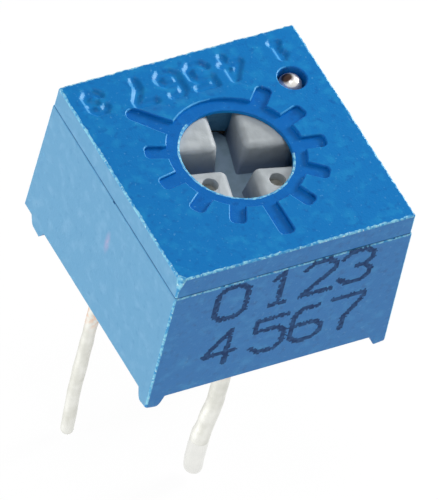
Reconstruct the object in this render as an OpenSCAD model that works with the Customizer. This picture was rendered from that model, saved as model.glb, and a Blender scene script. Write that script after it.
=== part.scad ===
// Square single-turn trimmer potentiometer for a printed circuit board.
// The origin is on the seating plane under the feet, on the rotor's axis.
// +Z is up, the printed side faces -Y, and terminals 1 and 3 are on the +X and -X sides.

/* [Case] */
// Width of the cover's top, along X
case_w = 6.84; // [6.6:0.02:7.1]
// Length of the cover's top, along Y
case_l = 6.82; // [6.6:0.02:7.1]
// Height from the seating plane to the cover's top
case_h = 4.88; // [4.76:0.02:5.2]
// Draft of the four sides, in degrees
draft_angle = 0.9; // [0.5:0.1:1.5]
// Radius of the four upright edges
corner_r = 0.06; // [0.04:0.02:0.14]
// Front and back wall at the underside, outside the potted pocket
side_wall = 0.48; // [0.4:0.02:0.5]
// Corner radius of the potted pocket
pocket_corner_r = 0.3; // [0.1:0.02:0.36]

/* [Cover] */
// Thickness of the cover above its seam with the housing
cover_t = 0.68; // [0.6:0.02:0.8]
// How far the cover stands back from the housing at the seam
cover_setback = 0.02; // [0.01:0.01:0.04]
// Width of the gate trim on the cover's front left edge, at the top
gate_w = 0.28; // [0.2:0.02:0.34]
// Diameter of the hole that shows the end of terminal 1
sight_hole_d = 0.77; // [0.7:0.01:0.8]
// How far that hole stands inward of the terminal's post, along X
sight_hole_in_x = 0.02; // [0:0.01:0.04]
// How far that hole stands inward of the terminal's post, along Y
sight_hole_in_y = 0.04; // [0:0.01:0.05]

/* [Dial] */
// Diameter of the opening over the rotor
opening_d = 2.92; // [2.76:0.02:2.96]
// Width of the sunken ring round the opening
ring_w = 0.35; // [0.3:0.01:0.4]
// Depth of the ring and its marks below the cover's top
dial_depth = 0.1; // [0.06:0.01:0.14]
// Number of marks round the travel
mark_count = 11; // [5:2:11]
// Width of each mark
mark_w = 0.4; // [0.3:0.02:0.42]
// Length of an ordinary mark, outside the ring
mark_len = 0.58; // [0.4:0.02:0.7]
// Length of the middle mark, outside the ring
middle_mark_len = 1.04; // [0.8:0.02:1.2]
// Length of the wedge at the clockwise end of travel, outside the ring
wedge_len = 1.16; // [1:0.02:1.3]
// Width of the wedge where it leaves the ring
wedge_w = 0.5; // [0.44:0.02:0.7]
// Corner radius at the end of each mark
mark_corner_r = 0.13; // [0.05:0.01:0.14]

/* [Feet] */
// Height of the feet
foot_h = 0.36; // [0.3:0.02:0.42]
// Width of each foot at its root
foot_w = 0.5; // [0.44:0.02:0.6]
// Length of each rear foot at its root
rear_foot_l = 0.7; // [0.6:0.02:0.8]
// Distance from the back to the rear feet
rear_foot_inset = 0.42; // [0.36:0.02:0.5]
// How far each inner side of a foot slopes in over its height
foot_slope = 0.14; // [0.06:0.02:0.18]
// How far the front and the back of a rear foot slope in over its height
rear_foot_slope = 0.2; // [0.1:0.02:0.22]

/* [Terminals] */
// Grid step between the leads
lead_pitch = 2.54; // [2.5:0.01:2.58]
// Place of the outer leads along Y
outer_lead_y = 0.72; // [0.6:0.02:0.8]
// Diameter of a lead with its solder coat
lead_d = 0.51; // [0.5:0.01:0.54]
// Diameter of the bare wire inside
wire_d = 0.48; // [0.44:0.01:0.49]
// Length of the leads below the seating plane
lead_len = 5.8; // [3:0.1:7]
// Place of the inner posts along Y
post_y = 1.8; // [1.76:0.01:1.86]
// How far the post of terminal 3 stands above the ceramic plate
post_stub = 0.36; // [0.3:0.02:0.5]
// Side of the squared stretch of each terminal, inside the potting
jog_side = 0.38; // [0.3:0.02:0.4]
// Diameter of the solder bead on the post of terminal 1
bead_d = 0.57; // [0.52:0.01:0.6]
// Depth of the bead's top below the cover's top
bead_depth = 0.08; // [0.06:0.01:0.24]
// Diameter of a solder joint at its foot
solder_d = 0.8; // [0.7:0.02:0.82]
// Height of a solder joint
solder_h = 0.28; // [0.2:0.02:0.3]

/* [Rotor] */
// How far the rotor's head runs out under the rim of the opening
head_overlap = 0.29; // [0.26:0.01:0.34]
// Thickness of the rim over the head
rim_t = 0.1; // [0.08:0.01:0.16]
// Width of the screwdriver slots
slot_w = 0.68; // [0.5:0.02:0.8]
// Depth of the screwdriver slots
slot_depth = 1.04; // [0.9:0.02:1.1]
// Turn of the slots from the housing's sides at rest, in degrees
slot_turn = -12.75; // [-45:0.25:45]
// Diameter of the two dimples in the head
dimple_d = 0.42; // [0.3:0.02:0.46]
// Distance of the dimples from the axis
dimple_r = 1.22; // [1.1:0.01:1.25]
// Angle between the two dimples, in degrees
dimple_angle = 94; // [90:1:110]
// Depth of the dimples
dimple_depth = 0.25; // [0.1:0.05:0.5]
// Gap between the seal and the edge of the flange below it
flange_margin = 0.02; // [0.01:0.01:0.03]
// Thickness of the flange
flange_t = 0.5; // [0.4:0.02:0.56]
// Mechanical travel between the stops, in degrees
travel = 270; // [250:1:280]
// Width of the stop lug, in degrees
lug_angle = 24; // [22:1:30]
// Height of the stop lug beyond the flange
lug_h = 0.24; // [0.2:0.01:0.25]

/* [Seal] */
// Thickness of the sealing ring
seal_d = 0.5; // [0.46:0.01:0.52]

/* [Element] */
// Thickness of the ceramic plate
ceramic_t = 0.6; // [0.5:0.02:0.64]
// Thickness of the printed films
film_t = 0.02; // [0.01:0.005:0.03]
// Ceramic left outside the holes of the outer posts
plate_edge = 0.2; // [0.16:0.01:0.24]
// Gap between the resistive track and the chamber's wall, seen from above
track_edge = 0.1; // [0.08:0.01:0.12]
// Width of the resistive track
track_w = 0.38; // [0.34:0.01:0.4]
// Mean radius of the collector ring
collector_r = 1.05; // [0.95:0.01:1.15]
// Width of the collector ring
collector_w = 0.4; // [0.3:0.02:0.5]
// Part of the travel that runs on each end pad, in degrees
pad_run = 10; // [6:1:14]
// Width of the trace from each end pad to its post
trace_w = 0.3; // [0.2:0.02:0.36]
// Depth of the potting that holds the plate and the leads
potting_t = 0.84; // [0.76:0.02:0.88]
// How far the potting stands back from the underside
potting_recess = 0.1; // [0.05:0.01:0.14]

/* [Wiper] */
// Thickness of the spring metal
wiper_t = 0.08; // [0.06:0.01:0.1]
// Number of fingers, of which every second one runs on the collector
finger_count = 5; // [3:2:5]
// Width of each finger
finger_w = 0.14; // [0.1:0.01:0.15]
// Distance between fingers, middle to middle
finger_step = 0.18; // [0.17:0.005:0.19]
// Radius of each rounded finger tip
tip_r = 0.07; // [0.05:0.01:0.08]
// Length of the turned-up end of each finger
tip_tail = 0.13; // [0.1:0.01:0.16]
// Distance of the wiper's root from the axis
wiper_root = 1.9; // [1.8:0.02:2]
// Length of the wiper's flat root
wiper_root_l = 0.95; // [0.9:0.05:1.1]
// Diameter of the two pegs that hold the wiper
peg_d = 0.26; // [0.2:0.02:0.28]
// Distance between the pegs
peg_step = 0.45; // [0.42:0.01:0.48]

/* [Fits] */
// Radial gap of a turning fit
running_gap = 0.05; // [0.03:0.01:0.08]
// Gap of a piece that is pushed or potted into place
slip_gap = 0.02; // [0.01:0.005:0.03]
// Radial gap between the stop lug and the chamber
chamber_gap = 0.08; // [0.06:0.01:0.1]
// Play left at each stop, in degrees
stop_play = 0.25; // [0.1:0.05:0.5]

/* [Hidden] */

$fn = 96;
corner_fn = 32;         // facets of a full circle inside a drafted form
thin = 0.001;           // the slices that a drafted form is drawn between
tail_angle = 45;        // how steeply a finger's end turns up
over = 0.5;             // how far a cutter runs past the face it opens
sink = 0.1;             // how far a lug or collar is rooted in its own piece

// heights, from the cover down
seam_z = case_h - cover_t;
dial_z = case_h - dial_depth;
head_ceiling_z = dial_z - rim_t;
head_top_z = head_ceiling_z - slip_gap;
slot_floor_z = head_top_z - slot_depth;
collar_z = slot_floor_z - slip_gap;
flange_top_z = collar_z - seal_d - slip_gap;
flange_low_z = flange_top_z - flange_t;
wiper_low_z = flange_low_z - wiper_t;
bead_z = case_h - bead_depth - bead_d / 2;

// heights, from the seating plane up
potting_low_z = foot_h + potting_recess;
ceramic_low_z = potting_low_z + potting_t;
ceramic_top_z = ceramic_low_z + ceramic_t;
film_top_z = ceramic_top_z + film_t;
ledge_z = film_top_z + slip_gap;
jog_z = (potting_low_z + ceramic_low_z) / 2;
neck_z = ceramic_low_z - solder_h - slip_gap;

// radii
opening_r = opening_d / 2;
ring_r = opening_r + ring_w;
head_r = opening_r + head_overlap;
bearing_r = head_r + running_gap;
seal_r = head_r + (seal_d + slip_gap) / 2;
flange_r = head_r + seal_d + slip_gap / 2 + flange_margin;
stop_r = flange_r + running_gap;
lug_r = flange_r + lug_h;
chamber_r = lug_r + chamber_gap;
lead_r = lead_d / 2;
wire_r = wire_d / 2;
wire_hole_r = wire_r + slip_gap;
well_r = bead_d / 2 + slip_gap;
solder_r = solder_d / 2;
solder_well_r = solder_r + slip_gap;

track_r = chamber_r - track_edge - track_w / 2;
peg_r = peg_d / 2;
peg_head_r = 1.5 * peg_r;

// places and angles
middle_lead_y = outer_lead_y - lead_pitch;
sight_hole_x = lead_pitch - sight_hole_in_x;
sight_hole_y = post_y - sight_hole_in_y;
rest_angle = slot_turn - 90;
mark_step = travel / (mark_count - 1);
first_mark = -90 - travel / 2;
stop_half_angle = (360 - travel - lug_angle) / 2 - stop_play;
track_half_angle = travel / 2 - pad_run;
pad_end_angle = travel / 2 + pad_run / 2;
wiper_w = finger_count * finger_step;

// how far a side has moved out at a height, by its draft
function rise_out(z) = (case_h - z) * tan(draft_angle);
function side_x(z) = case_w / 2 + rise_out(z);
function side_y(z) = case_l / 2 + rise_out(z);
pocket_w = 2 * (lead_pitch + wire_hole_r + plate_edge);
pocket_l = 2 * (side_y(foot_h) - side_wall);

// ---- shared forms ----

module rounded_outline(w, l, r) {
    square([w - 2 * r, l], center = true);
    square([w, l - 2 * r], center = true);
    for (x = [-1, 1], y = [-1, 1])
        translate([x * (w / 2 - r), y * (l / 2 - r)])
            circle(r, $fn = corner_fn);
}

module plate(w, l, r, low_z, high_z) {
    translate([0, 0, low_z])
        linear_extrude(high_z - low_z)
            rounded_outline(w, l, r);
}

module case_slice(low_z, at_z, inset) {
    plate(2 * (side_x(at_z) - inset), 2 * (side_y(at_z) - inset), corner_r, low_z, low_z + thin);
}

// the drafted outer form between two heights
module case_form(low_z, high_z, inset = 0) {
    hull() {
        case_slice(low_z, low_z, inset);
        case_slice(high_z - thin, high_z, inset);
    }
}

module post(x, y, r, low_z, high_z) {
    translate([x, y, low_z])
        cylinder(h = high_z - low_z, r = r);
}

module square_post(x, y, half, low_z, high_z) {
    translate([x - half, y - half, low_z])
        cube([2 * half, 2 * half, high_z - low_z]);
}

// a ring about the rotor's axis, or a sector of one
module ring(inner_r, outer_r, low_z, high_z, from = 0, sweep = 360) {
    rotate([0, 0, from])
        rotate_extrude(angle = sweep)
            translate([inner_r, low_z])
                square([outer_r - inner_r, high_z - low_z]);
}

// a straight strip between two points of a drawing
module strip(from, to, w) {
    run = to - from;
    translate(from)
        rotate(atan2(run[1], run[0]))
            translate([0, -w / 2])
                square([norm(run), w]);
}

// ---- housing ----

// a clear channel under the housing that runs along Y, narrower at its roof
module foot_channel(from, to, from_slope, to_slope) {
    rotate([90, 0, 0])
        linear_extrude(2 * case_l, center = true)
            polygon([
                [from - from_slope, -over],
                [from - from_slope, 0],
                [from, foot_h],
                [to, foot_h],
                [to + to_slope, 0],
                [to + to_slope, -over]
            ]);
}

module between_feet() {
    inner_x = side_x(foot_h) - foot_w;
    front_y = foot_w - side_y(foot_h);
    back_y = side_y(foot_h) - rear_foot_inset;
    foot_channel(-inner_x, inner_x, foot_slope, foot_slope);
    rotate([0, 0, 90]) foot_channel(front_y, back_y - rear_foot_l, foot_slope, rear_foot_slope);
    rotate([0, 0, 90]) foot_channel(back_y, case_l, rear_foot_slope, 0);
}

// room in the housing for the posts and their solder joints
module post_wells() {
    post(lead_pitch, post_y, well_r, ledge_z - thin, seam_z + over);
    post(-lead_pitch, post_y, well_r, ledge_z - thin, ceramic_top_z + post_stub + slip_gap);
    for (x = [-lead_pitch, lead_pitch])
        post(x, post_y, solder_well_r, ledge_z - thin, film_top_z + solder_h + slip_gap);
}

module base_housing() {
    color("steelblue") {
        difference() {
            case_form(0, seam_z);
            between_feet();
            plate(pocket_w, pocket_l, pocket_corner_r, -over, ledge_z);
            post(0, 0, chamber_r, ledge_z - thin, seam_z + over);
            post_wells();
        }
        ring(
            stop_r, chamber_r + sink, ledge_z, flange_top_z + slip_gap,
            90 - stop_half_angle, 2 * stop_half_angle
        );
    }
}

// ---- cover ----

// a mark of the dial, along +X from the ring
module dial_mark(length, r) {
    far = ring_r + length;
    translate([opening_r, -mark_w / 2])
        square([far - r - opening_r, mark_w]);
    translate([opening_r, r - mark_w / 2])
        square([far - opening_r, mark_w - 2 * r]);
    for (y = [-1, 1])
        translate([far - r, y * (mark_w / 2 - r)])
            circle(r);
}

// the wedge at the end of travel, along +X from the ring
module dial_wedge() {
    tip_w = mark_w / 2;
    far = ring_r + wedge_len - tip_w;
    polygon([[opening_r, -wedge_w / 2], [far, -tip_w], [far, tip_w], [opening_r, wedge_w / 2]]);
    translate([far, 0]) circle(tip_w);
}

module dial() {
    translate([0, 0, dial_z])
        linear_extrude(dial_depth + over) {
            circle(ring_r);
            rotate(first_mark) dial_wedge();
            for (i = [1 : mark_count - 1])
                rotate(first_mark + i * mark_step)
                    dial_mark(i == (mark_count - 1) / 2 ? middle_mark_len : mark_len, mark_corner_r);
        }
}

// the flat where the moulding gate was trimmed, fading out just above the seam
module gate_flat() {
    top_line = 2 * cover_setback + gate_w / sqrt(2);
    seam_line = -2 * rise_out(seam_z);
    hull()
        for (level = [[case_h, top_line], [seam_z, seam_line]])
            translate([-case_w / 2, -case_l / 2, level[0]])
                linear_extrude(thin)
                    polygon([[level[1] + over, -over], [-over, level[1] + over], [-over, -over]]);
}

module top_cover() {
    color("dodgerblue")
        difference() {
            union() {
                case_form(seam_z, case_h, cover_setback);
                post(0, 0, chamber_r - slip_gap, collar_z, seam_z + sink);
            }
            post(0, 0, bearing_r, collar_z - over, head_ceiling_z);
            post(0, 0, opening_r, head_ceiling_z - thin, case_h + over);
            post(sight_hole_x, sight_hole_y, sight_hole_d / 2, seam_z - over, case_h + over);
            dial();
            gate_flat();
        }
}

// ---- rotor and its seal ----

module driver_slots() {
    for (turn = [0, 90])
        rotate([0, 0, slot_turn + turn])
            translate([-head_r - over, -slot_w / 2, slot_floor_z])
                cube([2 * (head_r + over), slot_w, slot_depth + over]);
}

module dimples() {
    for (side = [-1, 1])
        rotate([0, 0, rest_angle + side * dimple_angle / 2])
            post(dimple_r, 0, dimple_d / 2, head_top_z - dimple_depth, head_top_z + over);
}

// the two pegs under the flange, with the heads that were melted over the wiper
module wiper_pegs() {
    head_high_z = wiper_low_z - slip_gap / 2;
    for (x = peg_places())
        rotate([0, 0, rest_angle]) {
            post(x, 0, peg_r, head_high_z - wiper_t, flange_low_z + sink);
            post(x, 0, peg_head_r, head_high_z - wiper_t, head_high_z);
        }
}

function peg_places() = [for (side = [-1, 1]) wiper_root_l / 2 - wiper_root + side * peg_step / 2];

module rotor() {
    color("darkgray")
        difference() {
            union() {
                post(0, 0, head_r, flange_low_z, head_top_z);
                post(0, 0, flange_r, flange_low_z, flange_top_z);
                ring(
                    head_r, lug_r, flange_low_z, flange_top_z,
                    rest_angle - lug_angle / 2, lug_angle
                );
                wiper_pegs();
            }
            driver_slots();
            dimples();
        }
}

module rotor_seal() {
    color("firebrick")
        translate([0, 0, flange_top_z + (seal_d + slip_gap) / 2])
            rotate_extrude()
                translate([seal_r, 0])
                    circle(seal_d / 2);
}

// ---- wiper ----

// the side view of one finger, from the root to its contact at a distance from the axis
module finger_side(contact) {
    tip = [contact, ledge_z + tip_r];
    root = [wiper_root_l - wiper_root - sink, wiper_low_z + wiper_t / 2];
    strip(root, tip, wiper_t);
    strip(tip, tip + tip_tail * [cos(tail_angle), sin(tail_angle)], wiper_t);
    translate(tip) circle(tip_r);
}

module finger(i) {
    lane = (i - (finger_count - 1) / 2) * finger_step;
    reach = i % 2 == 0 ? track_r : collector_r;
    translate([0, lane + finger_w / 2, 0])
        rotate([90, 0, 0])
            linear_extrude(finger_w)
                finger_side(sqrt(reach * reach - lane * lane));
}

module wiper() {
    color("gold")
        rotate([0, 0, rest_angle]) {
            difference() {
                translate([-wiper_root, -wiper_w / 2, wiper_low_z])
                    cube([wiper_root_l, wiper_w, wiper_t]);
                for (x = peg_places())
                    post(x, 0, peg_r + slip_gap, wiper_low_z - over, flange_low_z + over);
            }
            for (i = [0 : finger_count - 1])
                finger(i);
        }
}

// ---- resistive element ----

module ceramic_plate() {
    color("ivory")
        difference() {
            plate(
                pocket_w - 2 * slip_gap, pocket_l - 2 * slip_gap, pocket_corner_r,
                ceramic_low_z, ceramic_top_z
            );
            for (place = [[-lead_pitch, post_y], [lead_pitch, post_y], [0, middle_lead_y]])
                post(place[0], place[1], wire_hole_r, ceramic_low_z - over, ceramic_top_z + over);
        }
}

module resistive_track() {
    color("dimgray")
        ring(
            track_r - track_w / 2, track_r + track_w / 2, ceramic_top_z, film_top_z,
            -90 - track_half_angle, 2 * track_half_angle
        );
}

module collector_ring() {
    color("silver")
        difference() {
            union() {
                ring(collector_r - collector_w / 2, collector_r + collector_w / 2, ceramic_top_z, film_top_z);
                translate([0, 0, ceramic_top_z])
                    linear_extrude(film_t)
                        strip([0, -collector_r], [0, middle_lead_y], collector_w);
            }
            post(0, middle_lead_y, wire_hole_r, ceramic_top_z - over, film_top_z + over);
        }
}

// the pad at the +X end of the track, with its trace to the post
module end_pad() {
    middle = -90 + travel / 2;
    post_place = [lead_pitch, post_y];
    color("silver")
        difference() {
            union() {
                ring(
                    track_r - track_w / 2, track_r + track_w / 2, ceramic_top_z, film_top_z,
                    track_half_angle - 90, pad_end_angle - track_half_angle
                );
                translate([0, 0, ceramic_top_z])
                    linear_extrude(film_t) {
                        strip(track_r * [cos(middle), sin(middle)], post_place, trace_w);
                        translate(post_place) circle(solder_r);
                    }
            }
            post(lead_pitch, post_y, wire_hole_r, ceramic_top_z - over, film_top_z + over);
        }
}

module end_pad_1() {
    end_pad();
}

module end_pad_3() {
    mirror([1, 0, 0]) end_pad();
}

// ---- terminals ----

// the solder-coated lead below the potting
module lead(x, y) {
    post(x, y, lead_r, -lead_len, potting_low_z);
}

// the squared jog of an outer terminal, on the +X side, with a gap round it
module jog(gap, low_z) {
    half = jog_side / 2 + gap;
    square_post(lead_pitch, outer_lead_y, half, low_z, jog_z + half);
    translate([lead_pitch - half, outer_lead_y, jog_z - half])
        cube([2 * half, post_y - outer_lead_y, 2 * half]);
}

// an outer terminal on the +X side: lead, jog and post
module outer_terminal(post_top_z) {
    lead(lead_pitch, outer_lead_y);
    jog(0, potting_low_z - thin);
    post(lead_pitch, post_y, wire_r, jog_z - jog_side / 2, post_top_z);
}

module terminal_1() {
    color("lightgray") {
        outer_terminal(bead_z);
        translate([lead_pitch, post_y, bead_z]) sphere(d = bead_d);
    }
}

module terminal_2() {
    color("lightgray") {
        lead(0, middle_lead_y);
        square_post(0, middle_lead_y, jog_side / 2, potting_low_z - thin, neck_z);
        post(0, middle_lead_y, wire_r, neck_z - thin, ceramic_top_z);
    }
}

module terminal_3() {
    color("lightgray")
        mirror([1, 0, 0]) outer_terminal(ceramic_top_z + post_stub);
}

// ---- solder and potting ----

// a fillet of solder round a wire, standing on a face at z = 0
module solder_fillet() {
    color("gainsboro")
        difference() {
            cylinder(h = solder_h, r1 = solder_r, r2 = wire_r + slip_gap);
            translate([0, 0, -over]) cylinder(h = solder_h + 2 * over, r = wire_r + slip_gap / 2);
        }
}

module solder_joint_1() {
    translate([lead_pitch, post_y, film_top_z]) solder_fillet();
}

module solder_joint_2() {
    translate([0, middle_lead_y, ceramic_low_z]) mirror([0, 0, 1]) solder_fillet();
}

module solder_joint_3() {
    translate([-lead_pitch, post_y, film_top_z]) solder_fillet();
}

// the hollow that one outer terminal leaves in the potting
module jog_hollow() {
    jog(slip_gap, potting_low_z - over);
    post(lead_pitch, post_y, wire_hole_r, jog_z - jog_side / 2 - slip_gap, ceramic_low_z + over);
}

module potting() {
    color("midnightblue")
        difference() {
            plate(
                pocket_w - 2 * slip_gap, pocket_l - 2 * slip_gap, pocket_corner_r,
                potting_low_z, ceramic_low_z
            );
            jog_hollow();
            mirror([1, 0, 0]) jog_hollow();
            square_post(0, middle_lead_y, jog_side / 2 + slip_gap, potting_low_z - over, neck_z + thin);
            post(0, middle_lead_y, solder_well_r, neck_z, ceramic_low_z + over);
        }
}

base_housing();
top_cover();
rotor();
rotor_seal();
wiper();
ceramic_plate();
resistive_track();
collector_ring();
end_pad_1();
end_pad_3();
terminal_1();
terminal_2();
terminal_3();
solder_joint_1();
solder_joint_2();
solder_joint_3();
potting();
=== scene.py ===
import math
import bmesh
import bpy
from mathutils import Matrix, Vector, noise


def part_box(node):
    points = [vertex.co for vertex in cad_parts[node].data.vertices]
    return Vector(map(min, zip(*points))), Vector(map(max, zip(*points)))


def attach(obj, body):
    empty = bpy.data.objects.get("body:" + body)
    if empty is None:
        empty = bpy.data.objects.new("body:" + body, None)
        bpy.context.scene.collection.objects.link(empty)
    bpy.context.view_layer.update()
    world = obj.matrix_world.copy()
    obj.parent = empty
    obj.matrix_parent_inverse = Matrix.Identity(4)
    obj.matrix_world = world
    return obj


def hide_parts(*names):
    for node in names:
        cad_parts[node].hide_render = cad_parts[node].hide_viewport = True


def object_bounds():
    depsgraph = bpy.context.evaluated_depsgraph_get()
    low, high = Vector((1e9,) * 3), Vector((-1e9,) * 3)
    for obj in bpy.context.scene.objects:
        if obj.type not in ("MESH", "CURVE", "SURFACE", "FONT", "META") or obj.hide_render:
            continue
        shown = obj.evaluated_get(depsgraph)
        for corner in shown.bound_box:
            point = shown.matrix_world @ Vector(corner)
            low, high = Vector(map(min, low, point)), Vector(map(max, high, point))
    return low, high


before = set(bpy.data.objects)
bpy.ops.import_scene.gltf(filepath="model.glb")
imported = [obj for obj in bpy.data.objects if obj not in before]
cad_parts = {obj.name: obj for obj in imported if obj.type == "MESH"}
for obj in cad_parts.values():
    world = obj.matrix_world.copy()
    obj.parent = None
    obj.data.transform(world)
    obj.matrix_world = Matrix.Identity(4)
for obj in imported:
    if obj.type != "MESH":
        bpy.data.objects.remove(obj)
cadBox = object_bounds()
mm = 0.001  # sizes below are in millimetres
print("frame loaded:", len(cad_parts), "nodes")

solids = {  # what the pieces below are fitted to in the CAD part
    "opening": 1.46, "sightHole": (2.52, 1.76),  # radius of the one, middle of the other
    "slotFloor": 3.62, "slotHalf": 0.34, "slotTurn": -12.75,  # height, half the width, degrees
    "bead": 0.57, "wire": 0.255,  # across the bead, radius of the wire
    "draft": 0.9,  # degrees that the sides lean
}
slotFloor = solids["slotFloor"] * mm
beadSize = solids["bead"] * mm
cutSlack = 1e-7  # how close to a cut a vertex counts as on it, in metres


def linear(hexColour):  # an sRGB hex value as a linear colour
    parts = [int(hexColour[i:i + 2], 16) / 255 for i in (1, 3, 5)]
    return [p / 12.92 if p <= 0.04045 else ((p + 0.055) / 1.055) ** 2.4 for p in parts] + [1.0]


def addNode(tree, kind, inputs=None, **settings):  # a node with its settings and links
    node = tree.nodes.new(kind)
    for name, value in settings.items():
        setattr(node, name, value)
    for name, value in (inputs or {}).items():
        if isinstance(value, bpy.types.NodeSocket):
            tree.links.new(value, node.inputs[name])
        else:
            node.inputs[name].default_value = value
    return node


def newMaterial(name, roughness, metallic=0.0, specular=0.5):  # a shader wired to its output
    material = bpy.data.materials.new(name)
    material.use_nodes = True
    tree = material.node_tree
    tree.nodes.clear()
    shader = addNode(tree, "ShaderNodeBsdfPrincipled", {
        "Roughness": roughness, "Metallic": metallic, "Specular IOR Level": specular,
    })
    addNode(tree, "ShaderNodeOutputMaterial", {"Surface": shader.outputs["BSDF"]})
    place = addNode(tree, "ShaderNodeTexCoord").outputs["Object"]
    return material, tree, shader, place


def nodeMesh(name):  # a merged copy of a CAD node's mesh
    bm = bmesh.new()
    bm.from_mesh(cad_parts[name].data)
    bmesh.ops.remove_doubles(bm, verts=bm.verts, dist=0.0015 * mm)
    bmesh.ops.dissolve_limit(bm, angle_limit=math.radians(0.4), verts=bm.verts, edges=bm.edges)
    for edge in bm.edges:
        edge.smooth = True
    return bm


def foldAngle(edge):  # how sharply an edge turns, 0 where it is flat or open
    return edge.calc_face_angle(0) if len(edge.link_faces) == 2 else 0


def foldedEdges(bm, least, test):  # edges that turn by more than an angle and have both ends pass a test
    return [e for e in bm.edges if foldAngle(e) > least and all(test(v.co) for v in e.verts)]


def rise(edge):  # how much height an edge covers
    return abs(edge.verts[0].co.z - edge.verts[1].co.z)


def withEdges(faces):  # faces with their edges and vertices, for an operator that wants all three
    return faces + list({e for f in faces for e in f.edges}) + list({v for f in faces for v in f.verts})


def roundEdges(bm, edges, radius, segments=2, material=-1):  # and may give the new faces a finish
    bmesh.ops.bevel(bm, geom=edges, offset=radius * mm, offset_type="OFFSET", segments=segments,
                    profile=0.5, affect="EDGES", clamp_overlap=True, material=material)


def cutLevel(bm, z, geom=None):  # cuts a mesh, or a part of it, at a height in metres
    bmesh.ops.bisect_plane(bm, geom=geom or bm.verts[:] + bm.edges[:] + bm.faces[:], plane_co=(0, 0, z),
                           plane_no=(0, 0, 1), dist=cutSlack)


def finishPiece(name, bm, materials, body, nodes, sharpAngle=38):  # a mesh as a finished piece
    for face in bm.faces:
        face.smooth = True
    for edge in bm.edges:
        edge.smooth = edge.smooth and foldAngle(edge) < math.radians(sharpAngle)
    mesh = bpy.data.meshes.new(name)
    bm.to_mesh(mesh)
    bm.free()
    for material in materials:
        mesh.materials.append(material)
    piece = bpy.data.objects.new(name, mesh)
    bpy.context.scene.collection.objects.link(piece)
    piece.modifiers.new("evenNormals", "WEIGHTED_NORMAL").keep_sharp = True
    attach(piece, body)
    if nodes:
        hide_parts(*nodes)
    print("  made", name, "with", len(mesh.polygons), "faces")


view = {
    "azimuth": -39.07, "elevation": 47.80, "roll": 15.36,  # degrees
    "distance": 300, "lens": 851.3, "sensor": 36,
    "aimHeight": 2.44, "aimRight": -0.012, "aimUp": -0.909,
}


def makeCamera():
    azimuth, elevation, roll = (math.radians(view[k]) for k in ("azimuth", "elevation", "roll"))
    back = Vector((
        math.sin(azimuth) * math.cos(elevation),
        -math.cos(azimuth) * math.cos(elevation),
        math.sin(elevation),
    ))
    level = (-back).cross(Vector((0, 0, 1))).normalized()
    upright = level.cross(-back)
    right = level * math.cos(roll) + upright * math.sin(roll)
    up = upright * math.cos(roll) - level * math.sin(roll)
    aim = Vector((0, 0, view["aimHeight"])) + right * view["aimRight"] + up * view["aimUp"]
    data = bpy.data.cameras.new("camera")
    data.lens = view["lens"]
    data.sensor_width = view["sensor"]
    data.clip_start, data.clip_end = 0.01, 10
    camera = bpy.data.objects.new("camera", data)
    bpy.context.scene.collection.objects.link(camera)
    turn = Matrix((right, up, back)).transposed().to_4x4()
    camera.matrix_world = Matrix.Translation((aim + back * view["distance"]) * mm) @ turn
    bpy.context.scene.camera = camera


light = {  # brightness 1 shows a surface that faces the lamp in the colour it has
    "sky": 0.32, "backdrop": 1.0, "aimHeight": 2.4,
    "lamps": {
        "left": {"from": (-74, 6, 3), "size": 16, "brightness": 0.57},
        "front": {"from": (-6, -76, 11), "size": 28, "brightness": 0.26},
        "right": {"from": (64, 8, 34), "size": 24, "brightness": 0.77},
        "top": {"from": (-4, 2, 82), "size": 30, "brightness": 0.28},
    },
    # the floor: its grey, its glow, how much of the glow is seen, its distance below the leads, half its width
    "paper": 0.55, "paperGlow": 1.04, "glowShare": 0.93, "gap": 0.02, "reach": 2000,
}
white = (1, 1, 1, 1)


def seenDirectly(tree):  # 1 for what the camera sees, itself or in metal and glass
    path = addNode(tree, "ShaderNodeLightPath")
    seen = path.outputs["Is Camera Ray"]
    for ray in ("Is Glossy Ray", "Is Transmission Ray"):
        seen = addNode(tree, "ShaderNodeMath", {
            0: seen, 1: path.outputs[ray]}, operation="MAXIMUM").outputs[0]
    return seen


def makeLight():
    world = bpy.data.worlds.new("studio")
    bpy.context.scene.world = world
    world.use_nodes = True
    tree = world.node_tree
    tree.nodes.clear()
    sky = addNode(tree, "ShaderNodeBackground", {"Color": white, "Strength": light["sky"]})
    backdrop = addNode(tree, "ShaderNodeBackground", {"Color": white, "Strength": light["backdrop"]})
    mixed = addNode(tree, "ShaderNodeMixShader", {
        0: seenDirectly(tree), 1: sky.outputs[0], 2: backdrop.outputs[0]})
    addNode(tree, "ShaderNodeOutputWorld", {"Surface": mixed.outputs[0]})
    middle = Vector((0, 0, light["aimHeight"] * mm))
    for name, lamp in light["lamps"].items():
        place = Vector(lamp["from"]) * mm
        data = bpy.data.lights.new(name, "AREA")
        data.shape = "DISK"
        data.size = lamp["size"] * mm
        data.energy = lamp["brightness"] * (math.pi * (place - middle).length) ** 2
        lampObject = bpy.data.objects.new(name, data)
        lampObject.location = place
        lampObject.rotation_euler = (middle - place).to_track_quat("-Z", "Y").to_euler()
        bpy.context.scene.collection.objects.link(lampObject)


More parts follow.
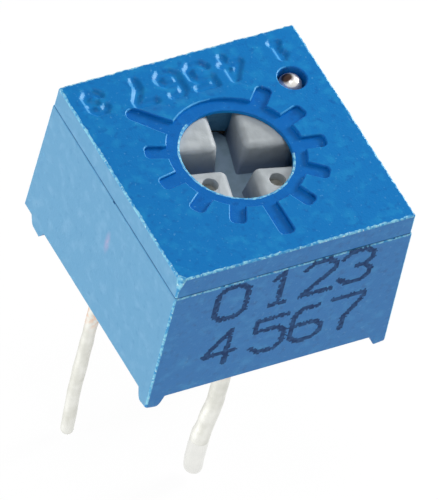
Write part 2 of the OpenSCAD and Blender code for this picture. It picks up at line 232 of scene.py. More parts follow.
def makeFloor():
    # white paper: matt and pale, so it only holds a faint shadow
    material = bpy.data.materials.new("whitePaperSweep")
    material.use_nodes = True
    tree = material.node_tree
    tree.nodes.clear()
    share = addNode(tree, "ShaderNodeMath", {
        0: seenDirectly(tree), 1: light["glowShare"]}, operation="MULTIPLY")
    paper = addNode(tree, "ShaderNodeBsdfDiffuse", {"Color": [light["paper"]] * 3 + [1]})
    glow = addNode(tree, "ShaderNodeEmission", {"Color": white, "Strength": light["paperGlow"]})
    mixed = addNode(tree, "ShaderNodeMixShader", {
        0: share.outputs[0], 1: paper.outputs[0], 2: glow.outputs[0]})
    clear = addNode(tree, "ShaderNodeBsdfTransparent", {"Color": white})  # lets views from below through
    under = addNode(tree, "ShaderNodeNewGeometry").outputs["Backfacing"]
    sheet = addNode(tree, "ShaderNodeMixShader", {0: under, 1: mixed.outputs[0], 2: clear.outputs[0]})
    addNode(tree, "ShaderNodeOutputMaterial", {"Surface": sheet.outputs[0]})
    bm = bmesh.new()
    bmesh.ops.create_grid(bm, x_segments=2, y_segments=2, size=light["reach"] * mm)
    bmesh.ops.translate(bm, verts=bm.verts, vec=(0, 0, cadBox[0].z - light["gap"] * mm))
    mesh = bpy.data.meshes.new("floor")
    bm.to_mesh(mesh)
    bm.free()
    mesh.materials.append(material)
    floor = bpy.data.objects.new("floor", mesh)
    bpy.context.scene.collection.objects.link(floor)


bpy.context.scene.view_settings.view_transform = "Standard"
makeCamera()
makeLight()
makeFloor()
print("camera, light and floor made")


def mottle(tree, place, size, low, high, detail=3.0):  # a broken-up mask, 0 to 1, with patches of a size
    cloud = addNode(tree, "ShaderNodeTexNoise", {"Vector": place, "Scale": 1 / (size * mm), "Detail": detail})
    mask = addNode(tree, "ShaderNodeMapRange", {
        "Value": cloud.outputs["Fac"], "From Min": low, "From Max": high})
    return mask.outputs[0]


def blend(tree, share, first, second):  # two colours, mixed by a mask or a number
    mixed = addNode(tree, "ShaderNodeMix", {0: share, 6: first, 7: second}, data_type="RGBA")
    return mixed.outputs[2]


def relief(tree, shader, height, distance, strength=1.0):  # raises a surface where a mask is 1, by mm
    bump = addNode(tree, "ShaderNodeBump", {
        "Height": height, "Strength": strength, "Distance": distance * mm})
    tree.links.new(bump.outputs[0], shader.inputs["Normal"])


def multiplied(tree, first, second):  # the product of two masks or numbers
    return addNode(tree, "ShaderNodeMath", {0: first, 1: second}, operation="MULTIPLY").outputs[0]


def spotAround(tree, place, middle, size):  # 1 at a point, 0 at a distance from it along each axis, in metres
    centred = addNode(tree, "ShaderNodeMapping", {
        "Vector": place, "Location": [-a / r for a, r in zip(middle, size)], "Scale": [1 / r for r in size]})
    spot = addNode(tree, "ShaderNodeTexGradient", {"Vector": centred.outputs[0]}, gradient_type="SPHERICAL")
    return spot.outputs["Fac"]


blue = {
    # the base, pale and deep tone of each finish
    "cover": ("#0b76be", "#1885c5", "#0a69b2"), "case": ("#0e76bd", "#2686c6", "#0c6aae"),
    "paintedSheen": ("#5e9fc8", "#6ea9cf", "#5597c3"), "dial": ("#0668b8", "#0f70bf", "#065fac"),
    "paintedGlint": ("#3c99d6", "#58ace0", "#2c8bcd"),
    "patchSize": 0.34, "deepPatches": 0.6,  # mm, and the deep patches' share of it
    "speck": "#7cc0e2", "speckSize": 0.09, "speckShare": 0.2,
    "grainSize": 0.055, "grainDepth": 0.012,
    "scuff": "#9ea3cb", "scuffAt": (-3.45, -0.2, 2.86), "scuffSize": (0.3, 0.15, 0.46),
}


def mouldedBlue(name, tones, specular, roughness, scuffed=False):
    # glass-filled PBT, moulded in spark-eroded steel: satin, softly mottled, with pale glass specks
    # the steel's grain, about 0.02 mm, and the fibres, about 0.01 mm, are drawn coarser so that they show
    material, tree, shader, place = newMaterial(name, roughness, specular=specular)
    base, pale, deep = [linear(t) for t in tones]
    tone = blend(tree, mottle(tree, place, blue["patchSize"], 0.5, 0.72), base, pale)
    tone = blend(tree, mottle(tree, place, blue["deepPatches"] * blue["patchSize"], 0.56, 0.74), tone, deep)
    speck = multiplied(tree, mottle(tree, place, blue["speckSize"], 0.68, 0.78, 1.0), blue["speckShare"])
    tone = blend(tree, speck, tone, linear(blue["speck"]))
    if scuffed:  # one pale spot on the left side
        spot = spotAround(tree, place, Vector(blue["scuffAt"]) * mm, Vector(blue["scuffSize"]) * mm)
        worn = multiplied(tree, spot, mottle(tree, place, 0.12, 0.2, 0.5))
        tone = blend(tree, worn, tone, linear(blue["scuff"]))
    tree.links.new(tone, shader.inputs["Base Color"])
    grain = addNode(tree, "ShaderNodeTexNoise", {
        "Vector": place, "Scale": 1 / (blue["grainSize"] * mm), "Detail": 3.0})
    relief(tree, shader, grain.outputs["Fac"], blue["grainDepth"], 0.5)
    return material


def burrWithPaintedHighlight():
    # the burr that the mould leaves on the edges, scuffed by tumbling and lightened as painted highlight where
    # the edges catch the light: thin, pale cyan and broken up
    material, tree, shader, place = newMaterial("pbtBurrWithPaintedHighlight", 0.55, specular=0.3)
    tone = blend(tree, mottle(tree, place, 0.1, 0.4, 0.6), linear("#3895cf"), linear("#8acfe8"))
    tone = blend(tree, mottle(tree, place, 0.06, 0.6, 0.7), tone, linear("#cdebf4"))
    tree.links.new(tone, shader.inputs["Base Color"])
    return material


def jointLine():
    # epoxy that closed the joint under the cover, painted dark as the shadow in the gap: a thin, uneven dark
    # line
    material, tree, shader, place = newMaterial("epoxyJointWithPaintedShadow", 0.7, specular=0.2)
    tone = blend(tree, mottle(tree, place, 0.3, 0.38, 0.62), linear("#1d4f7e"), linear("#2c6ca4"))
    tree.links.new(tone, shader.inputs["Base Color"])
    return material


def shadedPps():
    # glass-filled PPS: pale grey, smooth to the eye, with painted shade that darkens it down in the slots
    material, tree, shader, place = newMaterial("ppsGreyWithPaintedSlotShade", 0.45)
    height = addNode(tree, "ShaderNodeSeparateXYZ", {"Vector": place}).outputs["Z"]
    # painted shade: darker toward the bottom of the slots
    depth = addNode(tree, "ShaderNodeMapRange", {
        "Value": height, "From Min": slotFloor + 0.80 * mm, "From Max": slotFloor + 0.25 * mm})
    tone = blend(tree, mottle(tree, place, 0.25, 0.38, 0.68, 0.0), linear("#b3babe"), linear("#a7aeb2"))
    tree.links.new(blend(tree, depth.outputs[0], tone, linear("#78859a")), shader.inputs["Base Color"])
    relief(tree, shader, mottle(tree, place, 0.12, 0.4, 0.7), 0.004)
    return material


def tinnedWire():
    # copper wire dipped in solder: satin and a little lumpy, with bare copper showing at the body
    material, tree, shader, place = newMaterial("solderDippedCopperWire", 0.62, metallic=1.0)
    tone = blend(tree, mottle(tree, place, 0.5, 0.4, 0.65), linear("#dfdfda"), linear("#d2d2cb"))
    height = addNode(tree, "ShaderNodeSeparateXYZ", {"Vector": place}).outputs["Z"]
    nearBody = addNode(tree, "ShaderNodeMapRange", {
        "Value": height, "From Min": -1.9 * mm, "From Max": -0.8 * mm})
    copper = multiplied(tree, nearBody.outputs[0], mottle(tree, place, 0.18, 0.4, 0.62))
    tree.links.new(blend(tree, copper, tone, linear("#dfa67c")), shader.inputs["Base Color"])
    relief(tree, shader, mottle(tree, place, 0.22, 0.3, 0.7), 0.008, 0.6)
    return material


def beadMiddle():  # the middle of the bead of solder at the end of terminal 1
    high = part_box("terminal_1")[1]
    return Vector((high.x, high.y, high.z)) - Vector((beadSize, beadSize, beadSize)) / 2


def beadSolder():
    # reflowed tin-lead solder: a bright bead with a dark brown painted reflection on one side
    material, tree, shader, place = newMaterial("solderBeadWithPaintedReflection", 0.3, metallic=0.7)
    # painted dark reflection on the upper left of the bead
    spot = spotAround(tree, place, beadMiddle() + Vector((-0.13, 0.08, 0.33)) * mm, [0.25 * mm] * 3)
    film = addNode(tree, "ShaderNodeMapRange", {"Value": spot, "From Min": 0.1, "From Max": 0.45})
    tone = blend(tree, mottle(tree, place, 0.2, 0.4, 0.7), linear("#e9e6de"), linear("#d2ced6"))
    tree.links.new(blend(tree, film.outputs[0], tone, linear("#3c2a26")), shader.inputs["Base Color"])
    return material


def plainFinish(name, colour, roughness, tone, amount, size, depth, metallic=0.0, specular=0.5):
    # a colour with an amount of a second tone in patches of a size, raised by a depth, both in mm
    material, tree, shader, place = newMaterial(name, roughness, metallic, specular)
    share = multiplied(tree, mottle(tree, place, size, 0.38, 0.68), amount)
    tree.links.new(blend(tree, share, linear(colour), linear(tone)), shader.inputs["Base Color"])
    relief(tree, shader, share, depth)
    return material


# the lid, as it left the mould: dense and dull
coverBlue = mouldedBlue("mouldedPbtCoverBlue", blue["cover"], 0.12, 0.42)
# the dial, where the mould was polished: cleaner, with a deeper blue that is painted shade, given to the
# recesses, the sight hole and edges facing away from the light
paintedShadeDialBlue = mouldedBlue("pbtDialBlueWithPaintedShade", blue["dial"], 0.12, 0.35)
# the dial's edges and the engraving's slopes that face the light: a paler blue as painted highlight
paintedGlintBlue = mouldedBlue("pbtEdgeBlueWithPaintedHighlight", blue["paintedGlint"], 0.3, 0.45)
# the sides, drawn along the mould as they came out: a faint sheen
caseBlue = mouldedBlue("mouldedPbtCaseBlue", blue["case"], 0.5, 0.45)
# the left side, painted pale and chalky as sheen from the light that falls on it; also given to the opening's
# wall and the left edge by the joint
paintedSheenBlue = mouldedBlue("pbtCaseBlueWithPaintedSheen", blue["paintedSheen"], 0.5, 0.5, True)
edgeBlue = burrWithPaintedHighlight()
joinedEdge = jointLine()
beadMetal = beadSolder()
tinned = tinnedWire()
rotorGrey = shadedPps()
# the same PPS on the floor of the slots, painted bluish as the light that the blue lid bounces onto it
slotFloorPaintedBounce = plainFinish("ppsSlotFloorPaintedBounce", "#788fa4", 0.6, "#6a8291", 0.8, 0.3, 0.006)
# the dimples: darker and glossier
dimpleGrey = plainFinish("darkerPpsDimpleGrey", "#84857f", 0.35, "#6b6860", 0.7, 0.15, 0.006)
# ink stamped on the case: thin, dry and blotchy
ink = plainFinish("stampedEpoxyInk", "#0a3464", 0.6, "#3a6ca4", 0.5, 0.11, 0.002, specular=0.2)
# reflowed tin-lead solder: bright, with a slight frost
solderBright = plainFinish("reflowedSolder", "#e4e2de", 0.22, "#9a9894", 0.3, 0.2, 0.004, 1.0)
# wire that was dipped a second time: whiter and smoother
freshSolder = plainFinish("twiceDippedSolder", "#e9e9e5", 0.4, "#dfdfdc", 0.4, 0.4, 0.004, 1.0)
# moulded silicone rubber: smooth, dull and slightly dusty
rubber = plainFinish("mouldedSiliconeRubber", "#2a2024", 0.6, "#3c2e32", 0.4, 0.3, 0.004)
# copper alloy strip, rolled and stamped: bright, with faint rolling streaks
springAlloy = plainFinish("stampedCopperAlloy", "#d8bc82", 0.3, "#b4935a", 0.4, 0.08, 0.002, 1.0)
# pressed and fired alumina: matt and off-white; its grain, about 0.005 mm, is drawn coarser so that it shows
alumina = plainFinish("firedAlumina", "#ece9df", 0.7, "#d6d1c2", 0.5, 0.12, 0.004)
# screen-printed, fired cermet: near black, slightly glassy, with the mesh of the screen in it
cermet = plainFinish("firedCermetFilm", "#2b2c2f", 0.45, "#44464a", 0.5, 0.06, 0.003)
# screen-printed, fired silver: pale, frosted metal
silverFilm = plainFinish("firedSilverFilm", "#c9c6be", 0.4, "#aaa69c", 0.4, 0.08, 0.003, 1.0)
# cast epoxy: dark blue, smooth, with shallow flow marks
epoxy = plainFinish("castEpoxy", "#24406e", 0.3, "#1b3158", 0.7, 0.8, 0.03)

finishes = {
    "rotor_seal": rubber, "wiper": springAlloy, "ceramic_plate": alumina, "resistive_track": cermet,
    "collector_ring": silverFilm, "end_pad_1": silverFilm, "end_pad_3": silverFilm,
    "solder_joint_1": solderBright, "solder_joint_2": solderBright, "solder_joint_3": solderBright,
    "potting": epoxy, "terminal_1": tinned, "terminal_2": tinned, "terminal_3": tinned,
    "base_housing": caseBlue, "top_cover": coverBlue, "rotor": rotorGrey,
}
for name, material in finishes.items():
    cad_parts[name].data.materials.clear()
    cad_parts[name].data.materials.append(material)
print("materials made")

strokes = {  # each plain digit on a lattice 4 wide and 6 high
    "0": [[(1, 0), (3, 0), (4, 1), (4, 5), (3, 6), (1, 6), (0, 5), (0, 1), (1, 0)]],
    "1": [[(1, 5), (2, 6), (2, 0)], [(1, 0), (3, 0)]],
    "2": [[(0, 5), (1, 6), (3, 6), (4, 5), (4, 4), (0, 0), (4, 0)]],
    "3": [[(0, 5), (1, 6), (3, 6), (4, 5), (4, 4), (3, 3), (4, 2), (4, 1), (3, 0), (1, 0), (0, 1)],
          [(2, 3), (3, 3)]],
    "4": [[(3, 0), (3, 6), (0, 2), (4, 2)]],
    "5": [[(4, 6), (0, 6), (0, 4), (3, 4), (4, 3), (4, 1), (3, 0), (1, 0), (0, 1)]],
    "6": [[(3, 6), (1, 6), (0, 5), (0, 1), (1, 0), (3, 0), (4, 1), (4, 2), (3, 3), (0, 3)]],
    "7": [[(0, 6), (4, 6), (4, 5), (2, 2), (2, 0)]],
}


def nearStroke(x, y, points):  # distance from a point to a line of strokes
    best = math.inf
    for (ax, ay), (bx, by) in zip(points, points[1:]):
        run = max((bx - ax) ** 2 + (by - ay) ** 2, 1e-9)
        t = min(1, max(0, ((x - ax) * (bx - ax) + (y - ay) * (by - ay)) / run))
        best = min(best, math.hypot(x - ax - t * (bx - ax), y - ay - t * (by - ay)))
    return best


def eased(t):  # 0 to 1 with a soft start and end
    return t * t * (3 - 2 * t)


burrAndHighlight = 1  # the place of the burr with painted highlight in both mouldings' lists of finishes
burrCuts = 136  # pieces along a side, about 0.05 mm long


def tintSides(bm, high, plain, paintedSheen):  # gives the sides their finishes, the left side its painted sheen, and the upright edges the burr with painted highlight
    for face in bm.faces:
        n, middle = face.normal, face.calc_center_median()
        if face.material_index or abs(n.z) > 0.5 or max(abs(middle.x), abs(middle.y)) < high.y - 0.25 * mm:
            continue
        if max(abs(n.x), abs(n.y)) < 0.98:
            face.material_index = burrAndHighlight
        else:
            # the left side gets the painted sheen
            face.material_index = paintedSheen if n.x < -0.9 else plain


def raggedRim(bm, top, edges):  # breaks up the strip of burr and painted highlight along the top
    reach = edges["burrAndHighlight"] * mm

    def strip():
        return [f for f in bm.faces if f.material_index == burrAndHighlight and f.calc_center_median().z > top - 0.2 * mm]

    sides = {e for f in strip() for e in f.edges if e.calc_length() > 5 * mm}
    bmesh.ops.subdivide_edges(bm, edges=list(sides), cuts=burrCuts, use_grid_fill=True)
    for vert in {v for f in strip() for v in f.verts}:
        n = noise.noise(vert.co / (edges["burrWave"] * mm))
        p = vert.co
        along = abs(p.x) > abs(p.y)
        side = Vector((math.copysign(along, p.x), math.copysign(not along, p.y), 0))
        if p.z > top - cutSlack:  # stays in the flat top
            vert.co += side * n * reach
        elif any(f.material_index != burrAndHighlight and abs(f.normal.z) < 0.5 for f in vert.link_faces):  # in the side
            vert.co.z = min(top, p.z + 0.5 * n * reach)
        else:  # on the rounding between them
            vert.co += side * max(n, -0.3) * 0.5 * reach
            vert.co.z = min(top, p.z + 0.4 * n * reach)


engraving = {
    "depth": 0.075, "floor": 0.04, "edge": 0.17,  # how deep, half the floor's width, half the stroke's
    "cell": 0.045, "band": (2.06, 3.16), "halfBand": 3.1,  # the grid of faces that the digits are sunk in
    # each digit with its middle, width and height; they read from the back of the case
    "digits": [
        ("3", -2.71, 2.63, 0.40, 0.62), ("4", 1.22, 2.58, 0.50, 0.76), ("5", 0.30, 2.58, 0.50, 0.76),
        ("6", -0.57, 2.58, 0.50, 0.76), ("7", -1.45, 2.58, 0.50, 0.76), ("1", 2.62, 2.71, 0.30, 0.48),
    ],
}
coverEdges = {
    "rim": 0.05, "joint": 0.03, "dial": 0.085, "opening": 0.025,  # radii
    "burrAndHighlight": 0.036, "burrWave": 0.085,  # how far the strip of burr and painted highlight strays and how long its waves are
    # the flash left round the opening, painted pale as highlight on its near side: its width, its waves, its
    # middle's direction and how far round it goes
    "flash": 0.036, "flashRough": 0.035, "flashWave": 0.13, "flashTurn": (-0.63, -0.78), "flashReach": -0.35,
    "shineTurn": (0.95, -0.32),  # the way the edges face that get the painted highlight
    "recess": 0.1,  # depth of the dial
}
coverFinish = {"top": 0, "joint": 2, "side": 3, "paintedSheen": 4, "dial": 5, "paintedGlint": 6}


def engraveDigits(bm, top):  # sinks soft strokes into the cover's top
    low, high = engraving["band"]
    cell = engraving["cell"]

    def ofTop(f):
        return f.normal.z > 0.99 and all(v.co.z > top - cutSlack for v in f.verts)

    def cutAcross(geom, axis, at):
        cut = bmesh.ops.bisect_plane(bm, geom=geom, plane_co=axis * at * mm, plane_no=axis, dist=cutSlack)
        return cut["geom"]

    bmesh.ops.triangulate(bm, faces=[f for f in bm.faces if ofTop(f)])
    geom = withEdges([f for f in bm.faces if ofTop(f)])
    for i in range(int((high - low) / cell) + 1):
        geom = cutAcross(geom, Vector((0, 1, 0)), low + i * cell)
    geom = withEdges([f for f in bm.faces if ofTop(f) and low * mm < f.calc_center_median().y < high * mm])
    columns = int(engraving["halfBand"] / cell)
    for i in range(-columns, columns + 1):
        geom = cutAcross(geom, Vector((1, 0, 0)), i * cell)
    lines = []
    for digit, x, y, width, height in engraving["digits"]:
        for stroke in strokes[digit]:
            lines.append([(x - (a / 4 - 0.5) * width, y - (b / 6 - 0.5) * height) for a, b in stroke])
    for vert in bm.verts:
        p = vert.co / mm
        if vert.co.z > top - cutSlack and low < p.y < high:
            near = min(nearStroke(p.x, p.y, points) for points in lines)
            t = min(1, max(0, (engraving["edge"] - near) / (engraving["edge"] - engraving["floor"])))
            vert.co.z -= engraving["depth"] * mm * eased(t)
    bm.normal_update()
    for face in bm.faces:
        middle = face.calc_center_median()
        inBand = middle.z > top - 0.1 * mm and low < middle.y / mm < high
        # slopes of the engraving that face the light get the painted highlight
        shiny = face.normal.xy.dot(Vector(coverEdges["shineTurn"])) > 0.3
        if inBand and shiny and not face.material_index:
            face.material_index = coverFinish["paintedGlint"]


def flashOpening(bm, top):  # the torn flash round the opening with painted highlight on its near side, the dial's polished floor with painted shade, and painted highlight on the edges facing the light
    opening, width = solids["opening"], coverEdges["flash"]
    depth = coverEdges["recess"] * mm
    recess = [f for f in bm.faces if f.normal.z > 0.99
              and top - depth - 0.02 * mm < f.calc_center_median().z < top - depth + 0.02 * mm]
    # the dial's floor gets the painted shade
    for face in recess:
        face.material_index = coverFinish["dial"]
    strip = bmesh.ops.inset_region(bm, faces=recess, thickness=width * mm, use_even_offset=True,
                                   use_boundary=True)["faces"]
    for face in bm.faces:
        middle = face.calc_center_median()
        reach = max(v.co.xy.length for v in face.verts) / mm - opening
        if reach < 1.8 * width and face.normal.z > 0.2 and middle.z > top - depth - 0.03 * mm:
            # only the near side of the flash gets the burr with painted highlight
            if middle.xy.normalized().dot(Vector(coverEdges["flashTurn"])) > coverEdges["flashReach"]:
                face.material_index = burrAndHighlight
        elif 0.02 < reach < 0.8 and middle.z < top - depth - 0.04 * mm:  # the wall of the opening, given the painted sheen
            face.material_index = coverFinish["paintedSheen"]
        elif face.material_index == coverFinish["paintedGlint"]:
            # edges facing away from the light lose the painted highlight, and those facing furthest away get
            # the dial's painted shade
            facing = face.normal.xy.dot(Vector(coverEdges["shineTurn"]))
            if facing <= 0.2:
                face.material_index = coverFinish["top"] if facing > -0.1 else coverFinish["dial"]
    for vert in {v for f in strip for v in f.verts}:
        reach = vert.co.xy.length - opening * mm
        if width * mm < reach < 2 * width * mm:
            ragged = noise.noise(vert.co / (coverEdges["flashWave"] * mm)) * coverEdges["flashRough"] * mm
            vert.co.xy += vert.co.xy.normalized() * ragged


def makeCover():
    bm = nodeMesh("top_cover")
    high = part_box("top_cover")[1]
    top = high.z

    def onSide(p):
        return abs(p.x) > high.x - 0.1 * mm or abs(p.y) > high.y - 0.1 * mm

    seam = min(v.co.z for v in bm.verts if onSide(v.co))
    rim = foldedEdges(bm, 0.7, lambda p: onSide(p) and p.z > top - 0.01 * mm)
    roundEdges(bm, rim, coverEdges["rim"], 2, burrAndHighlight)
    around = [f for f in bm.faces if abs(f.normal.z) < 0.5 and all(onSide(v.co) for v in f.verts)]
    cutLevel(bm, seam + coverEdges["joint"] * mm, withEdges(around))
    tintSides(bm, high, coverFinish["side"], coverFinish["paintedSheen"])
    inside = foldedEdges(bm, 0.7, lambda p: not onSide(p) and p.z > top - 0.01 * mm)
    # the dial's rounded edges start with the painted highlight
    roundEdges(bm, inside, coverEdges["dial"], 5, coverFinish["paintedGlint"])

    def onOpening(p):
        return abs(p.xy.length - solids["opening"] * mm) < 0.01 * mm and p.z > top - 0.12 * mm

    # the opening's rounding gets the painted shade
    roundEdges(bm, foldedEdges(bm, 0.7, onOpening), coverEdges["opening"], 2, coverFinish["dial"])
    flashOpening(bm, top)
    hole = Vector(solids["sightHole"]) * mm
    for face in bm.faces:
        offHole = (face.calc_center_median().xy - hole).length
        # the lid's lower rounding gets the joint's painted shadow
        if all(v.co.z < seam + 1.1 * coverEdges["joint"] * mm and onSide(v.co) for v in face.verts):
            face.material_index = coverFinish["joint"]
        # the sight hole's rim and wall get the painted shade
        elif offHole < 0.1 * mm or (abs(face.normal.z) < 0.3 and offHole < 0.42 * mm):
            face.material_index = coverFinish["dial"]
    raggedRim(bm, top, coverEdges)
    bm.normal_update()
    for edge in bm.edges:  # keeps the flat top's shading clear of the rounded edges
        if len(edge.link_faces) == 2 and min(v.co.z for v in edge.verts) > top - 0.001 * mm:
            edge.smooth = len({f.normal.z > 0.9999 for f in edge.link_faces}) == 1
    engraveDigits(bm, top)
    materials = [coverBlue, edgeBlue, joinedEdge, caseBlue, paintedSheenBlue, paintedShadeDialBlue, paintedGlintBlue]
    finishPiece("coverShell", bm, materials, "housing", ["top_cover"], 55)


housingEdges = {
    "shoulder": 0.05, "joint": 0.012, "burrAndHighlight": 0.022, "burrWave": 0.13,
    "paleFrom": 0.5,  # the height above which the upright edges are pale with painted highlight
    # the worn feet: height of the wear, share of the width lost, share lost at the corner, how far that rises
    "foot": 0.17, "wear": 0.2, "cornerWear": 0.5, "cornerRise": 0.08, "footCuts": (0.15, 0.4, 0.7, 1.0),
}
housingFinish = {"side": 0, "paintedSheen": 2, "joint": 3}


def wearFeet(bm, low):
    worn = housingEdges["foot"] * mm
    for share in housingEdges["footCuts"]:
        cutLevel(bm, low.z + share * worn)
    for side, end in ((-1, -1), (-1, 1), (1, -1), (1, 1)):
        foot = [v for v in bm.verts
                if v.co.z < low.z + 0.99 * worn and v.co.x * side > 0 and v.co.y * end > 0]
        middle = sum((v.co.xy for v in foot), Vector((0, 0))) / len(foot)
        far = max((v.co.xy - middle).length for v in foot)
        outward = Vector((side, end)).normalized()
        for vert in foot:
            drop = 1 - (vert.co.z - low.z) / worn
            shrink = 1 - math.sqrt(1 - drop * drop)
            away = (vert.co.xy - middle) * (1 - housingEdges["wear"] * shrink)
            away.length = min(away.length, far * (1 - housingEdges["cornerWear"] * shrink))
            vert.co.xy = middle + away
            facing = max(0, away.normalized().dot(outward))
            vert.co.z += housingEdges["cornerRise"] * mm * facing ** 2 * shrink


def makeHousing():
    bm = nodeMesh("base_housing")
    low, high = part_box("base_housing")
    seam = high.z
    lean = math.tan(math.radians(solids["draft"]))

    def onSide(p):
        out = 0.12 * mm + (p.z - low.z) * lean
        return abs(p.x) > high.x - out or abs(p.y) > high.y - out

    shoulder = foldedEdges(bm, 0.6, lambda p: onSide(p) and p.z > seam - 0.01 * mm)
    roundEdges(bm, shoulder, housingEdges["shoulder"], 3, burrAndHighlight)
    wearFeet(bm, low)
    tintSides(bm, high, housingFinish["side"], housingFinish["paintedSheen"])
    raggedRim(bm, seam, housingEdges)
    for face in bm.faces:
        middle = face.calc_center_median()
        if face.material_index != burrAndHighlight:
            continue
        # the top of the shoulder gets the joint's painted shadow
        if middle.z > seam - housingEdges["joint"] * mm:
            face.material_index = housingFinish["joint"]
        elif middle.z < low.z + housingEdges["paleFrom"] * mm:
            face.material_index = housingFinish["side"]
        # the edge by the joint on the left side gets the painted sheen
        elif face.normal.x < -0.5 and middle.z > seam - 0.1 * mm:
            face.material_index = housingFinish["paintedSheen"]
    finishPiece("housingShell", bm, [caseBlue, edgeBlue, paintedSheenBlue, joinedEdge], "housing",
                ["base_housing"])


rotorEdges = {
    "quadrant": 0.20, "dimple": 0.04,  # radii
    "floorSlack": 0.02,  # how near the floor's height a face counts as floor
    "draft": 0.08, "footRounding": 0.25,  # how far the corners reach in at the floor, how round they stay
}
rotorFinish = {"floor": 1, "dimple": 2}


def makeRotor():
    bm = nodeMesh("rotor")
    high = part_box("rotor")[1]

    def onTop(p):
        return p.z > high.z - 0.01 * mm

    # the quadrants' long edges on top, their upright corners at the middle and those at the rim
    slots = [e for e in foldedEdges(bm, 0.5, onTop) if e.calc_length() > 0.5 * mm]
    crossing = [e for e in foldedEdges(bm, 0.5, lambda p: p.xy.length < 0.6 * mm) if rise(e) > 0.5 * mm]
    outer = [e for e in foldedEdges(bm, 0.5, lambda p: p.xy.length > 1.5 * mm)
             if rise(e) > 0.3 * mm and max(v.co.z for v in e.verts) > high.z - 0.2 * mm]
    bmesh.ops.bevel(bm, geom=slots + crossing + outer, offset=rotorEdges["quadrant"] * mm,
                    offset_type="OFFSET", segments=6, profile=0.5, affect="EDGES", clamp_overlap=False,
                    material=-1)
    dimples = [e for e in foldedEdges(bm, 0.5, lambda p: onTop(p) and 0.9 * mm < p.xy.length < 1.5 * mm)
               if e.calc_length() < 0.1 * mm]
    roundEdges(bm, dimples, rotorEdges["dimple"], 2)
    # the rounding of the corners at the middle dies away toward the floor
    turn = Matrix.Rotation(math.radians(solids["slotTurn"]), 2)
    half = (solids["slotHalf"] - rotorEdges["draft"]) * mm
    for vert in bm.verts:
        if abs(vert.co.z - slotFloor) < 0.01 * mm and vert.co.xy.length < 0.8 * mm:
            level = turn.inverted() @ vert.co.xy
            corner = Vector([math.copysign(half, c) for c in level])
            vert.co.xy = turn @ corner.lerp(level, rotorEdges["footRounding"])
    for face in bm.faces:
        middle = face.calc_center_median()
        # the slots' floor gets the painted bounce
        if face.normal.z > 0.9 and abs(middle.z - slotFloor) < rotorEdges["floorSlack"] * mm:
            face.material_index = rotorFinish["floor"]
        elif face.normal.z > 0.9 and slotFloor < middle.z < high.z - 0.1 * mm:
            face.material_index = rotorFinish["dimple"]
    finishPiece("rotorHead", bm, [rotorGrey, slotFloorPaintedBounce, dimpleGrey], "rotor", ["rotor"])


def between(table, z, column):  # a smooth value between the rows of a table of heights
    if z >= table[0][0]:
        return table[0][column]
    for upper, lower in zip(table, table[1:]):
        if z >= lower[0]:
            t = eased((upper[0] - z) / (upper[0] - lower[0]))
            return upper[column] + t * (lower[column] - upper[column])
    return table[-1][column]


leads = {
    # where each lead stands, and its shape below the case: height, shift along X and Y, share of its width
    "terminal_1": {"piece": "leadAndBead1", "at": (2.54, 0.72), "shape": [
        (0.3, 0, 0, 1.0), (-2.0, 0.02, 0.12, 0.96), (-4.2, 0.0, 0.34, 0.98), (-5.8, -0.03, 0.46, 1.0)]},
    "terminal_2": {"piece": "lead2", "at": (0, -1.82), "tip": -5.6, "fresh": -4.3, "shape": [
        (0.3, 0, 0, 0.92), (-2.9, 0, 0, 0.90), (-3.8, -0.10, 0, 0.93), (-4.3, -0.17, 0, 1.0),
        (-5.2, -0.17, 0, 1.02), (-5.8, -0.13, 0, 0.98)]},
    "terminal_3": {"piece": "lead3", "at": (-2.54, 0.72), "shape": [
        (0.3, 0, 0, 0.74), (-0.8, -0.01, 0.0, 0.70), (-2.6, -0.04, -0.04, 0.68), (-4.0, -0.08, -0.10, 0.71),
        (-5.8, -0.05, -0.18, 0.70)]},
}
leadFinish = {
    "tip": 0.14, "bendsBelow": 0.3, "slice": 0.16,  # the tip's radius, where the bends start, a ring of faces
    "lumps": 0.012, "wave": 0.4,  # height and length of the lumps in the solder
    "beadGrowth": 1.16,
}
wireFinish = {"bead": 1, "fresh": 2}


def bendLead(bm, lead, low):
    axis = Vector(lead["at"]) * mm
    shape = lead["shape"]
    start = leadFinish["bendsBelow"]
    for i in range(1, int((start - low.z / mm) / leadFinish["slice"])):
        cutLevel(bm, start * mm - i * leadFinish["slice"] * mm)
    kept = lead.get("tip", low.z / mm) / (low.z / mm)  # share of the length that is kept
    for vert in bm.verts:
        z = vert.co.z / mm
        if z > start + 0.12:  # the post and its foot stay as they are
            continue
        swell = noise.noise(Vector((axis.x, axis.y, vert.co.z)) / (leadFinish["wave"] * mm))
        swell += 0.5 * noise.noise(vert.co / (leadFinish["wave"] * mm))
        spread = between(shape, z, 3) + leadFinish["lumps"] / solids["wire"] * swell
        shift = Vector((between(shape, z, 1), between(shape, z, 2))) * mm
        flat = axis + (vert.co.xy - axis) * spread + shift
        vert.co = Vector((flat.x, flat.y, vert.co.z if z > 0 else vert.co.z * kept))


def growBead(bm, high):  # the bead of solder on terminal 1's post
    middle = beadMiddle()
    for face in bm.faces:
        if face.calc_center_median().z > high.z - beadSize:
            face.material_index = wireFinish["bead"]
    for vert in bm.verts:
        if vert.co.z > high.z - 0.95 * beadSize:
            vert.co = middle + (vert.co - middle) * leadFinish["beadGrowth"]


def makeLeads():
    for name, lead in leads.items():
        bm = nodeMesh(name)
        low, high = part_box(name)
        tip = foldedEdges(bm, 0.6, lambda p: p.z < low.z + 0.01 * mm)
        roundEdges(bm, tip, leadFinish["tip"], 4)
        bendLead(bm, lead, low)
        if name == "terminal_1":
            growBead(bm, high)
        for face in bm.faces:  # where the wire was dipped again
            if "fresh" in lead and face.calc_center_median().z < lead["fresh"] * mm:
                face.material_index = wireFinish["fresh"]
        finishPiece(lead["piece"], bm, [tinned, beadMetal, freshSolder], "housing", [name], 50)


potting = {"meniscus": 0.12}


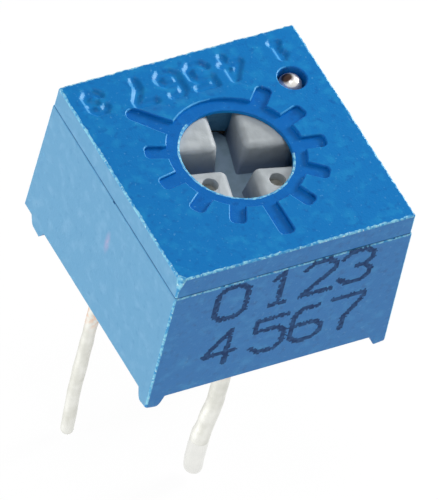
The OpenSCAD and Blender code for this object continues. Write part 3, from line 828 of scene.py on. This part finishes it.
def makePotting():
    bm = nodeMesh("potting")
    low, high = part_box("potting")
    rim = [e for e in foldedEdges(bm, 0.6, lambda p: p.z < low.z + 0.01 * mm) if e.calc_length() > 0.04 * mm
           and max(abs(v.co[axis]) for v in e.verts for axis in (0, 1)) > high.x - 0.3 * mm]
    roundEdges(bm, rim, potting["meniscus"], 3)
    finishPiece("pottedBase", bm, [epoxy], "housing", ["potting"])


printing = {
    "lines": [("0123", 2.87, 1.18), ("4567", 1.06, 1.25)],  # digits, height of their feet, their own height
    "left": [-2.10, -0.68, 0.42, 1.50], "width": 0.88, "tilt": 1.0,  # degrees
    "stroke": 0.16, "rough": 0.05, "roughWave": 0.07,  # width, how far its edge strays, length of its waves
    "ink": 0.004, "sunk": 0.002,  # the film's thickness and how deep it starts
    # the grid that the digits are cut from
    "cell": 0.046, "across": 4.9, "upright": 3.3, "middle": (0.17, 2.55, 0),
}


def makePrinting():
    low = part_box("base_housing")[0]
    tilt = math.tan(math.radians(printing["tilt"]))
    lines = []
    for digits, foot, height in printing["lines"]:
        for digit, left in zip(digits, printing["left"]):
            for stroke in strokes[digit]:
                lines.append([(left + x * printing["width"] / 4,
                               foot + z * height / 6 + (left + 2) * tilt) for x, z in stroke])
    across, upright = printing["across"], printing["upright"]
    bm = bmesh.new()
    bmesh.ops.create_grid(bm, x_segments=int(across / printing["cell"]),
                          y_segments=int(upright / printing["cell"]), size=0.5)
    bmesh.ops.scale(bm, verts=bm.verts, vec=(across, upright, 1))
    bmesh.ops.translate(bm, verts=bm.verts, vec=printing["middle"])
    blank = []
    for face in bm.faces:
        p = face.calc_center_median()
        wander = printing["rough"] * noise.noise(Vector((p.x, p.y, 0)) / printing["roughWave"])
        if min(nearStroke(p.x, p.y, points) for points in lines) > printing["stroke"] / 2 + wander:
            blank.append(face)
    bmesh.ops.delete(bm, geom=blank, context="FACES")
    bmesh.ops.scale(bm, verts=bm.verts, vec=(mm,) * 3)
    grown = bmesh.ops.extrude_face_region(bm, geom=bm.faces[:])
    raised = [v for v in grown["geom"] if isinstance(v, bmesh.types.BMVert)]
    bmesh.ops.translate(bm, verts=raised, vec=(0, 0, printing["ink"] * mm))
    bmesh.ops.recalc_face_normals(bm, faces=bm.faces)
    bmesh.ops.rotate(bm, verts=bm.verts, cent=(0, 0, 0), matrix=Matrix.Rotation(math.radians(90), 3, "X"))
    lean = math.tan(math.radians(solids["draft"]))
    for vert in bm.verts:
        vert.co.y += low.y + (vert.co.z - low.z) * lean + printing["sunk"] * mm
    finishPiece("printedDigits", bm, [ink], "housing", [])


makeCover()
makeHousing()
makeRotor()
makeLeads()
makePotting()
makePrinting()
print("pieces made")
